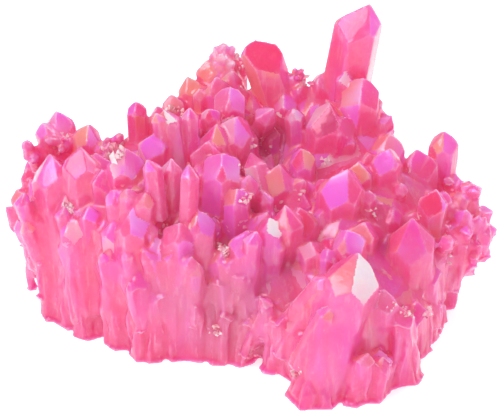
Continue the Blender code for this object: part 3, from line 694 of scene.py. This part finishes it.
def slabs_on_wall(tree, shapes, shape, rng):
    """The long crystals that lie along the wall, by chance all round and then those listed."""
    slabs = []
    for step in range(shape.wall_count):
        own = random.Random(rng.random())
        swing = 2 * math.pi * (step + own.random()) / shape.wall_count
        out = Vector((math.cos(swing), math.sin(swing), 0))
        height = own.uniform(5, 24) * MM
        place, normal, index, distance = tree.ray_cast(out * 80 * MM + Vector((0, 0, height)), -out)
        if place is None or abs(normal.z) > 0.4:
            continue
        width = own.uniform(2.5, 5.0) * MM
        axis = Vector((0, 0, 1)) - normal * normal.z + normal * own.uniform(0.06, 0.2) + wobble(own, 0.07)
        middle = place - normal * own.uniform(0.25, 0.42) * width
        tip = middle + axis.normalized() * 1.8 * width
        if hides_in_outline(tree, tip) and clear_of_marks(tip, 4) and clear_of_marks(place, 2):
            seat_crystal(slabs, shapes, own, middle, axis, width, 0.6, PLAIN_FILM)
    for column, row, width, kind, right, away, depth in LONG_CRYSTALS:
        own = random.Random(rng.random())
        place, normal, index = seen_at(tree, column, row)
        if place is not None:
            root = place - VIEW_BACK * depth * MM
            root.z = max(root.z, 0.7 * width * MM)
            first = len(LEANS) * kind
            alike, axis = shapes[first : first + len(LEANS)], Vector((right, away, 1))
            seat_crystal(slabs, alike, own, root, axis, width * MM, 0.1, PLAIN_FILM, first)
    return slabs


def forget(piece):
    """Removes an object that isn't needed any more, with its mesh."""
    mesh = piece.data
    bpy.data.objects.remove(piece)
    bpy.data.meshes.remove(mesh)


def add_object(name, data):
    """An object of a mesh, a light or a camera, in the scene."""
    added = bpy.data.objects.new(name, data)
    bpy.context.scene.collection.objects.link(added)
    return added


def crystal_piece(solid):
    """The large and the young crystals as a piece of its own."""
    mesh = bpy.data.meshes.new("crystals")
    solid.to_mesh(mesh)
    return add_object("crystals", mesh)


def apply_modifier(piece, kind, **settings):
    """Adds a modifier with its settings and applies it."""
    pick(piece)
    bpy.ops.object.modifier_add(type=kind)
    modifier = piece.modifiers[-1]
    for name, value in settings.items():
        setattr(modifier, name, value)
    bpy.ops.object.modifier_apply(modifier=modifier.name)


def round_edges(piece, grain):
    """Rounds every edge and fuses every junction by the width of the grain."""
    apply_modifier(piece, "REMESH", mode="VOXEL", voxel_size=grain)
    apply_modifier(piece, "SMOOTH", factor=0.5, iterations=2)


def fill_clefts(piece, rounds):
    """Fills the sharp clefts between crystals with soft fillets, and leaves the ridges as they are."""
    for number in range(rounds):
        bulge, ends = ridge_values(piece.data)
        folded = np.clip(-bulge * 3.0, 0.0, 1.0)
        for step in range(3):
            wide = folded.copy()
            np.maximum.at(wide, ends[:, 0], 0.85 * folded[ends[:, 1]])
            np.maximum.at(wide, ends[:, 1], 0.85 * folded[ends[:, 0]])
            folded = wide
        clefts = piece.vertex_groups.new(name="clefts")
        for index in np.flatnonzero(folded > 0.05).tolist():
            clefts.add([index], float(folded[index]), "REPLACE")
        apply_modifier(piece, "SMOOTH", factor=0.5, iterations=16, vertex_group=clefts.name)
        piece.vertex_groups.clear()


def fuse_wall(piece, shape):
    """Softens the columns of the outer wall towards the flat cut, and makes them swell a little."""
    wall = piece.vertex_groups.new(name="fused wall")
    for vert in piece.data.vertices:
        footing = smoothstep(0.0, 1.5 * MM, vert.co.z)
        wall.add([vert.index], wall_share(shape, vert.co, vert.normal) * footing, "REPLACE")
    apply_modifier(piece, "SMOOTH", factor=0.5, iterations=shape.fusing, vertex_group=wall.name)
    texture = bpy.data.textures.new("swelling", "CLOUDS")
    texture.noise_scale = 5 * MM
    texture.noise_depth = 1
    apply_modifier(
        piece,
        "DISPLACE",
        texture=texture,
        texture_coords="LOCAL",
        strength=shape.wave,
        mid_level=0.55,
        vertex_group=wall.name,
    )


def wall_cell(place):
    """The point of the fused wall at a place: how high it stands from 0 to 1, and the name of its cell."""
    gaps, points = noise.voronoi(
        Vector((place.x * 300, place.y * 300, place.z * 75)), distance_metric="MANHATTAN", exponent=2.5
    )
    key = "%.2f %.2f %.2f" % tuple(points[0])
    return smoothstep(0.0, 1.0, (gaps[1] - gaps[0]) * 1.4), key


def flute_wall(piece, shape):
    """Cuts shallow grooves between the long low points that the fused wall is made of."""
    moved = read(piece.data.vertices, "co", 3)
    for vert in piece.data.vertices:
        share = wall_share(shape, vert.co, vert.normal) * smoothstep(0.0, 1.0 * MM, vert.co.z)
        if share > 0.02:
            height, key = wall_cell(vert.co)
            share *= 1.0 - 0.7 * plainness(vert.co)
            moved[vert.index] -= np.array(vert.normal) * (1 - height) * shape.flute * share
    piece.data.vertices.foreach_set("co", moved.ravel())
    piece.data.update()


def thin_out(piece, most):
    """Brings the flat stretches down to fewer, larger triangles, with their corners on the full mesh."""
    count = sum(len(face.vertices) - 2 for face in piece.data.polygons)
    full = add_object("full", piece.data.copy())
    kept = min(1.0, most / count)
    apply_modifier(piece, "DECIMATE", decimate_type="COLLAPSE", ratio=kept, use_collapse_triangulate=True)
    apply_modifier(piece, "SHRINKWRAP", target=full, wrap_method="NEAREST_SURFACEPOINT")
    forget(full)


def facet_films(bm, tree):
    """The films of each facet: chosen ones where it has marks, or one by chance."""
    numbers = facet_numbers(bm)
    middles, sizes, normals = {}, {}, {}
    for face in bm.faces:
        facet = numbers[face.index]
        area = face.calc_area()
        middles[facet] = middles.get(facet, Vector()) + face.calc_center_median() * area
        normals[facet] = normals.get(facet, Vector()) + face.normal * area
        sizes[facet] = sizes.get(facet, 0.0) + area
    films = {}
    for facet in sorted(sizes):
        middle = middles[facet] / sizes[facet]
        own = random.Random("%d %.3f %.3f %.3f" % (SEED, *(middle / MM)))
        name, strength = chance_film(own, normals[facet].normalized())
        if sizes[facet] > WIDE_FACET:
            strength *= WIDE_FACET_FILM
        reach = 1.2 * math.sqrt(sizes[facet]) * own.uniform(0.7, 1.4)
        films[facet] = [(name, middle + wobble(own, 0.25 * reach), reach, strength)]
    marked = set()
    for name, column, row, reach, strength in FILM_MARKS:
        place, normal, index = seen_at(tree, column, row)
        if place is None:
            continue
        facet = numbers[index]
        if facet not in marked:
            films[facet] = []
            marked.add(facet)
        films[facet].append((name, place, reach * MM, strength))
    return numbers, films


def wall_share(shape, place, normal):
    """How far a place belongs to the fused outer wall, from 0 to 1."""
    low = smoothstep(shape.soft_top, shape.soft_low, place.z)
    return low * smoothstep(0.65, 0.2, abs(normal.z))


def facet_paint(mesh, tree, numbers, films):
    """The film of each face corner: its facet's films, strongest at their marks, and thicker in places."""
    colours = bpy.context.scene.film_colours
    tones = {name: Vector(getattr(colours, name)) for name in {*THICKER, *THICKER.values()}}
    paint = np.empty((len(mesh.loops), 4))
    for face in mesh.polygons:
        marks = films[numbers[tree.find_nearest(face.center)[2]]]
        for corner in face.loop_indices:
            place = mesh.vertices[mesh.loops[corner].vertex_index].co
            colour, total = Vector((0, 0, 0)), 1e-6
            thick = FILM_SWELL * smoothstep(0.0, 0.45, noise.noise(place * FILM_SWELLS))
            for name, middle, reach, strength in marks:
                near = strength * (1 - 0.8 * smoothstep(0.4 * reach, 1.5 * reach, (place - middle).length))
                colour += tones[name].lerp(tones[THICKER[name]], thick) * near
                total += near
            paint[corner] = (*(colour / total), min(1.0, total))
    return paint


def wall_tints(mesh, fused):
    """A tint and its strength at each vertex of the fused wall, the same all over one of its low points."""
    colours = bpy.context.scene.film_colours
    cells, tints = {}, np.zeros((len(mesh.vertices), 4))
    for vert in mesh.vertices:
        if fused[vert.index] > 0.02:
            height, key = wall_cell(vert.co)
            if key not in cells:
                draw = random.Random(key)
                name = draw.choices(WALL_TONES, WALL_ODDS)[0]
                cells[key] = (*getattr(colours, name), draw.uniform(0.1, 0.6))
            tints[vert.index] = cells[key]
            tints[vert.index, 3] *= 0.3 + 0.7 * height
    return tints


def lay_over(paint, colour, share):
    """Lays one more colour over the paint, by a share for each corner."""
    paint[:, :3] += (np.array(colour) - paint[:, :3]) * (share / (share + paint[:, 3] + 1e-6))[:, None]
    paint[:, 3] = np.minimum(1.0, paint[:, 3] + share * (1 - paint[:, 3]))


def film_facets(piece, solid, shape):
    """Gives each facet its film, lets those of the fused wall run together, and adds the broad washes, some of
    them painted shade, and painted shade at the foot.
    """
    colours = bpy.context.scene.film_colours
    tree = BVHTree.FromBMesh(solid)
    mesh = piece.data
    paint = facet_paint(mesh, tree, *facet_films(solid, tree))
    owners = read(mesh.loops, "vertex_index", 1, np.int64).ravel()
    fused = np.array([wall_share(shape, vert.co, vert.normal) for vert in mesh.vertices])
    tints = wall_tints(mesh, fused)
    washed = (0.5 * wash(mesh, owners, paint, 12) + 0.5 * wash(mesh, owners, tints[owners], 2))[owners]
    paint += (washed - paint) * fused[owners, None]
    corners = read(mesh.vertices, "co", 3)
    for name, column, row, reach, strength in WASHES:
        middle, normal, index = seen_at(tree, column, row)
        if middle is not None:
            away = np.linalg.norm(corners - np.array(middle), axis=1) / (reach * MM)
            share = strength * np.clip(1.3 - 1.1 * away, 0, 1) ** 1.5
            lay_over(paint, getattr(colours, name), share[owners])
    # Painted shade at the foot of the wall
    foot = FOOT_SHADE * np.clip(1.1 - corners[:, 2] / FOOT_HEIGHT, 0, 1)
    lay_over(paint, colours.dusk, foot[owners])
    film = mesh.attributes.new("film", "FLOAT_COLOR", "CORNER")
    film.data.foreach_set("color", paint.astype(np.float32).ravel())


def read(items, name, width, kind=float):
    """One property of all the vertices, edges or corners of a mesh, a row for each."""
    flat = np.empty(len(items) * width, dtype=kind)
    items.foreach_get(name, flat)
    return flat.reshape(-1, width)


def wash(mesh, owners, paint, rounds):
    """The paint of the faces' corners averaged at each vertex, and blurred along the edges."""
    count = len(mesh.vertices)
    ends = read(mesh.edges, "vertices", 2, np.int64)
    here, there = np.concatenate((ends[:, 0], ends[:, 1])), np.concatenate((ends[:, 1], ends[:, 0]))
    meet = np.maximum(np.bincount(owners, minlength=count), 1)
    links = np.bincount(here, minlength=count) + 1
    washed = np.stack([np.bincount(owners, channel, count) / meet for channel in paint.T], axis=1)
    for step in range(rounds):
        sums = np.stack([np.bincount(here, channel, count) for channel in washed[there].T], axis=1)
        washed = (sums + washed) / links[:, None]
    return washed


def ridge_values(mesh):
    """How sharply each corner bulges out, above 0, or folds in, below 0, and the ends of each edge."""
    corners, normals = read(mesh.vertices, "co", 3), read(mesh.vertices, "normal", 3)
    ends = read(mesh.edges, "vertices", 2, np.int64)
    bulge = np.zeros(len(corners))
    for here, there in ((ends[:, 0], ends[:, 1]), (ends[:, 1], ends[:, 0])):
        step = corners[here] - corners[there]
        step /= np.maximum(np.linalg.norm(step, axis=1, keepdims=True), 1e-9)
        bulge += np.bincount(here, (normals[here] * step).sum(axis=1), len(corners))
    count = np.bincount(ends.ravel(), minlength=len(corners))
    return bulge / np.maximum(count, 1.0), ends


def measure_ridges(piece):
    """Stores how sharply each place bulges out or folds in, from 1 to -1."""
    bulge, ends = ridge_values(piece.data)
    ridge = np.clip(bulge * 3.5, -1.0, 1.0).astype(np.float32)
    piece.data.attributes.new("ridge", "FLOAT", "POINT").data.foreach_set("value", ridge)


def measure_depth(piece):
    """Stores how deep each place lies between the crystals, which sets the painted shade, the painted glow and
    the painted glints there.
    """
    mesh = piece.data
    tree = BVHTree.FromPolygons([v.co for v in mesh.vertices], [p.vertices for p in mesh.polygons])
    rays = fan(FEW_RAYS)
    depth = mesh.attributes.new("depth", "FLOAT", "POINT")
    for vert in mesh.vertices:
        closed = shelter(tree, vert.co, vert.normal, SHELTER_REACH, rays)
        depth.data[vert.index].value = DEEPEST * smoothstep(0.3, 1.0, closed)


def stow(piece, material):
    """Gives a finished piece its material and body."""
    piece.data.materials.clear()
    piece.data.materials.append(material)
    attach(piece, BODY)


def small_crystal(length, lean, sides):
    """One small point of so many sides, 1 wide, standing on the origin: its corners and faces."""
    deselect_all()
    bpy.ops.mesh.primitive_cylinder_add(
        vertices=sides, radius=0.5, depth=length, location=(0, 0, length / 2), end_fill_type="NGON"
    )
    model = bpy.context.active_object
    bpy.ops.object.mode_set(mode="EDIT")
    bpy.ops.mesh.select_mode(type="FACE")
    bpy.ops.mesh.select_all(action="DESELECT")
    bm = bmesh.from_edit_mesh(model.data)
    for face in bm.faces:
        face.select_set(face.normal.z > 0.9)
    bmesh.update_edit_mesh(model.data)
    bpy.ops.mesh.extrude_region_move(TRANSFORM_OT_translate={"value": (lean[0], lean[1], 0.55)})
    bpy.ops.mesh.merge(type="CENTER")
    bpy.ops.object.mode_set(mode="OBJECT")
    bpy.ops.object.transform_apply()
    mesh = model.data
    corners = [vert.co.copy() for vert in mesh.vertices]
    corners.sort(key=lambda corner: [round(axis, 4) for axis in corner])
    numbers = [corners.index(vert.co) for vert in mesh.vertices]
    faces = []
    for face in mesh.polygons:
        ring = [numbers[index] for index in face.vertices]
        first = ring.index(min(ring))
        faces.append(tuple(ring[first:] + ring[:first]))
    forget(model)
    return corners, sorted(faces)


def crystal_shapes(lengths, sides=6):
    """Small crystals of these lengths, whose points lean different ways."""
    return [(length, *small_crystal(length, lean, sides)) for length in lengths for lean in LEANS]


def join_copies(name, shapes, copies):
    """One mesh of many copies of the small crystals, each with its film."""
    colours = bpy.context.scene.film_colours
    corners, faces, films = [], [], []
    for matrix, kind, film, strength in copies:
        start = len(corners)
        length, shape_corners, shape_faces = shapes[kind]
        corners.extend(matrix @ corner for corner in shape_corners)
        for number, face in enumerate(shape_faces):
            faces.append([start + index for index in face])
            films.append((*getattr(colours, film), strength * (0.6 + 0.4 * math.sin(number * 2.3))))
    mesh = bpy.data.meshes.new(name)
    mesh.from_pydata(corners, [], faces)
    layer = mesh.attributes.new("film", "FLOAT_COLOR", "FACE")
    for value, film in zip(layer.data, films):
        value.color = film
    return add_object(name, mesh)


def stand(place, axis, turn, width):
    """Matrix that puts a small crystal on a place."""
    upright = Vector((0, 0, 1)).rotation_difference(axis.normalized()).to_matrix().to_4x4()
    return Matrix.Translation(place) @ upright @ Matrix.Rotation(turn, 4, "Z") @ Matrix.Scale(width, 4)


def inside_box(place, margin):
    """Whether a place lies inside the solid's own box."""
    low, high = SOLID_BOX
    return all(low[axis] + margin < place[axis] < high[axis] - margin for axis in range(3))


def druse_film(rng):
    """A film for a small crystal."""
    film = rng.choices(("rose", "hot", "violet", "peach", "pale", "white"), (5, 4, 3, 3, 3, 1))[0]
    return film, rng.uniform(0.3, 0.9)


def hides_in_outline(tree, place):
    """Whether the large crystals stand before or behind a place, seen from the front."""
    return tree.ray_cast(place + VIEW_BACK * VIEW_DISTANCE, -VIEW_BACK)[0] is not None


def seat_crystal(copies, shapes, rng, place, axis, width, sunk, film, first_kind=0):
    """Adds one small crystal, sunk by a share of its length, if it stays inside the solid's box."""
    kind = rng.randrange(len(shapes))
    axis = axis.normalized()
    length = shapes[kind][0] * width
    root = place - axis * sunk * length
    if inside_box(root, 0.6 * width) and inside_box(root + axis * (length + 0.5 * width), 0.3 * width):
        copies.append((stand(root, axis, rng.uniform(0, math.pi), width), first_kind + kind, *film))


def wobble(rng, amount):
    """A random short vector."""
    return Vector((rng.gauss(0, amount), rng.gauss(0, amount), rng.gauss(0, amount)))


def druse_places(bm, tree, shape, rng):
    """Places between the large crystals: along their junctions and on the floors of the root body."""
    return junction_places(bm, tree, shape, rng) + floor_places(bm, shape, rng)


def junction_places(bm, tree, shape, rng):
    """Places in the folds where crystals meet, more of them where it is sheltered and few on the wall."""
    rays = fan(MORE_RAYS)
    found = []
    for edge in sorted(bm.edges, key=lambda edge: sorted(vert.index for vert in edge.verts)):
        if len(edge.link_faces) != 2 or edge.calc_face_angle_signed(0) > FOLD_ANGLE:
            continue
        start, end = sorted(edge.verts, key=lambda vert: vert.index)
        count = int(edge.calc_length() / shape.junction_gap + rng.random())
        normal = (edge.link_faces[0].normal + edge.link_faces[1].normal).normalized()
        for step in range(count):
            place = start.co.lerp(end.co, rng.random())
            wall = place.z < 24 * MM and abs(normal.z) < 0.45
            if place.z < 3 * MM or wall and rng.random() < 0.9:
                continue
            closed = shelter(tree, place, normal, SHELTER_REACH, rays)
            if rng.random() < smoothstep(0.35, 0.8, closed):
                found.append((place, normal))
    return found


def floor_places(bm, shape, rng):
    """Places on the gently bent faces of the root body, which no large crystal covers."""
    found = []
    for face in bm.faces:
        angles = [math.degrees(edge.calc_face_angle(3.0)) for edge in face.edges if len(edge.link_faces) == 2]
        gentle = any(0.6 < angle < 28 for angle in angles)
        if not gentle or face.normal.z < 0.1 or face.calc_center_median().z < 4 * MM:
            continue
        corners = [vert.co for vert in face.verts]
        for step in range(int(face.calc_area() / shape.floor_gap**2 + rng.random())):
            second = rng.randrange(1, len(corners) - 1)
            a, b = sorted((rng.random(), rng.random()))
            place = corners[0] * a + corners[second] * (b - a) + corners[second + 1] * (1 - b)
            found.append((place, face.normal.copy()))
    return found


class QUARTZ_OT_crystals(bpy.types.Operator):
    """Dress the large crystals: rounded edges, a fused wall, and a film on every facet"""

    bl_idname = "quartz.crystals"
    bl_label = "Large crystals"

    def execute(self, context):
        shape = context.scene.cluster_shape
        rng = random.Random(SEED)
        solid = merged_solid()
        grow_young(solid, context.scene.druse_shape, rng)
        piece = crystal_piece(solid)
        round_edges(piece, shape.grain)
        fill_clefts(piece, shape.cleft_rounds)
        fuse_wall(piece, shape)
        flute_wall(piece, shape)
        thin_out(piece, shape.most_triangles)
        film_facets(piece, solid, shape)
        solid.free()
        measure_ridges(piece)
        measure_depth(piece)
        pick(piece)
        bpy.ops.object.shade_smooth_by_angle(angle=SHADING_ANGLE)
        stow(piece, quartz_material("aura quartz"))
        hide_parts(NODE)
        return {"FINISHED"}


class QUARTZ_OT_druse(bpy.types.Operator):
    """Scatter the fine crystals between the large ones"""

    bl_idname = "quartz.druse"
    bl_label = "Fine druse"

    def execute(self, context):
        rng = random.Random(SEED + 1)
        bm = merged_solid()
        tree = BVHTree.FromBMesh(bm)
        shapes, shards = crystal_shapes((0.7, 1.1)), crystal_shapes((0.7, 1.2), 3)
        pink, clear = [], []
        for place, axis, width, finish in patch_crystals(tree, rng):
            # The clear shards are painted glints: mostly white films, a few pale, magenta or dark red, and a
            # white painted glow
            if finish == "clear":
                name = rng.choices(("white", "pale", "magenta", "dusk"), (6, 2, 2, 2))[0]
                seat_crystal(clear, shards, rng, place, axis, width, 0.5, (name, rng.uniform(0.9, 1.2)))
            elif finish == "pink":
                seat_crystal(pink, shapes, rng, place, axis, width, 0.4, druse_film(rng))
        bm.free()
        stow(join_copies("fine_druse", shapes, pink), quartz_material("druse quartz"))
        stow(join_copies("clear_druse", shards, clear), quartz_material("clear quartz"))
        return {"FINISHED"}


class QUARTZ_OT_stage(bpy.types.Operator):
    """Lay the pale floor, hang the studio lights and set the camera"""

    bl_idname = "quartz.stage"
    bl_label = "Stage"

    def execute(self, context):
        look = context.scene.stage_look
        lay_floor()
        light_surround(look.sky)
        for name, place, size, power, colour in (
            ("key", (-0.26, -0.18, 0.50), 0.30, look.key, (1.0, 0.98, 0.97)),
            ("rim", (0.34, 0.26, 0.34), 0.25, look.rim, (1.0, 0.97, 1.0)),
        ):
            hang_light(name, place, size, power, colour)
        set_camera()
        return {"FINISHED"}


def lay_floor():
    """A wide pale floor under the flat cut."""
    deselect_all()
    bpy.ops.mesh.primitive_plane_add(size=6.0, location=(0, 0, -0.05 * MM))
    floor = bpy.context.active_object
    floor.name = "floor"
    material, tree, shader = new_material("pale floor")
    place = add_node(tree, "ShaderNodeTexCoord", (-4, 0)).outputs["Object"]
    mottle = noise_value(tree, (-3, 0), place, 30.0, 2.0)
    for label, value in (
        ("Base Color", mix_colours(tree, (-2, 0), mottle, (0.80, 0.80, 0.80, 1), (0.83, 0.83, 0.83, 1))),
        ("Roughness", 0.9),
        ("Specular IOR Level", 0.1),
        ("Emission Color", (1.0, 1.0, 1.0, 1.0)),
        ("Emission Strength", 0.6),
    ):
        feed(tree, shader.inputs[label], value)
    floor.data.materials.append(material)


def light_surround(strength):
    """An even white surround."""
    world = bpy.data.worlds.new("studio")
    bpy.context.scene.world = world
    world.use_nodes = True
    surround = world.node_tree.nodes["Background"]
    surround.inputs["Color"].default_value = (1.0, 1.0, 1.0, 1.0)
    surround.inputs["Strength"].default_value = strength


def hang_light(name, place, size, power, colour):
    """A large square light aimed at the middle of the cluster."""
    data = bpy.data.lights.new(name, "AREA")
    data.shape = "SQUARE"
    data.size = size
    data.energy = power
    data.color = colour
    light = add_object(name, data)
    light.location = place
    aim = VIEW_AIM - Vector(place)
    light.rotation_euler = aim.to_track_quat("-Z", "Y").to_euler()


def set_camera():
    """The camera of the view that the cluster is arranged for."""
    data = bpy.data.cameras.new("view")
    data.lens = LENS
    data.sensor_width = SENSOR
    data.sensor_fit = "HORIZONTAL"
    data.clip_start = 0.01
    camera = add_object("view", data)
    camera.location = VIEW_AIM + VIEW_BACK * VIEW_DISTANCE
    camera.rotation_euler = (math.pi / 2 - VIEW_ELEVATION, 0, 0)
    bpy.context.scene.camera = camera
    bpy.context.scene.view_settings.view_transform = "Standard"


class QUARTZ_PT_panel(bpy.types.Panel):
    """Sidebar panel with the sizes, the colours and the steps"""

    bl_idname = "QUARTZ_PT_panel"
    bl_label = "Aura Quartz Cluster"
    bl_space_type = "VIEW_3D"
    bl_region_type = "UI"
    bl_category = "Quartz"

    def draw(self, context):
        scene = context.scene
        for label, group in GROUPS.items():
            box = self.layout.box()
            for name in group.__annotations__:
                box.prop(getattr(scene, label), name)
        for operator in OPERATORS:
            self.layout.operator(operator.bl_idname)


GROUPS = {
    "cluster_shape": ClusterShape,
    "druse_shape": DruseShape,
    "film_colours": FilmColours,
    "stage_look": StageLook,
}
OPERATORS = (QUARTZ_OT_crystals, QUARTZ_OT_druse, QUARTZ_OT_stage)
CLASSES = (*GROUPS.values(), *OPERATORS, QUARTZ_PT_panel)


def register():
    for cls in CLASSES:
        bpy.utils.register_class(cls)
    for label, group in GROUPS.items():
        setattr(bpy.types.Scene, label, PointerProperty(type=group))


def unregister():
    for label in GROUPS:
        delattr(bpy.types.Scene, label)
    for cls in reversed(CLASSES):
        bpy.utils.unregister_class(cls)


def main():
    """Builds the whole scene."""
    register()
    bpy.ops.quartz.stage()
    bpy.ops.quartz.crystals()
    bpy.ops.quartz.druse()


if __name__ == "__main__":
    main()
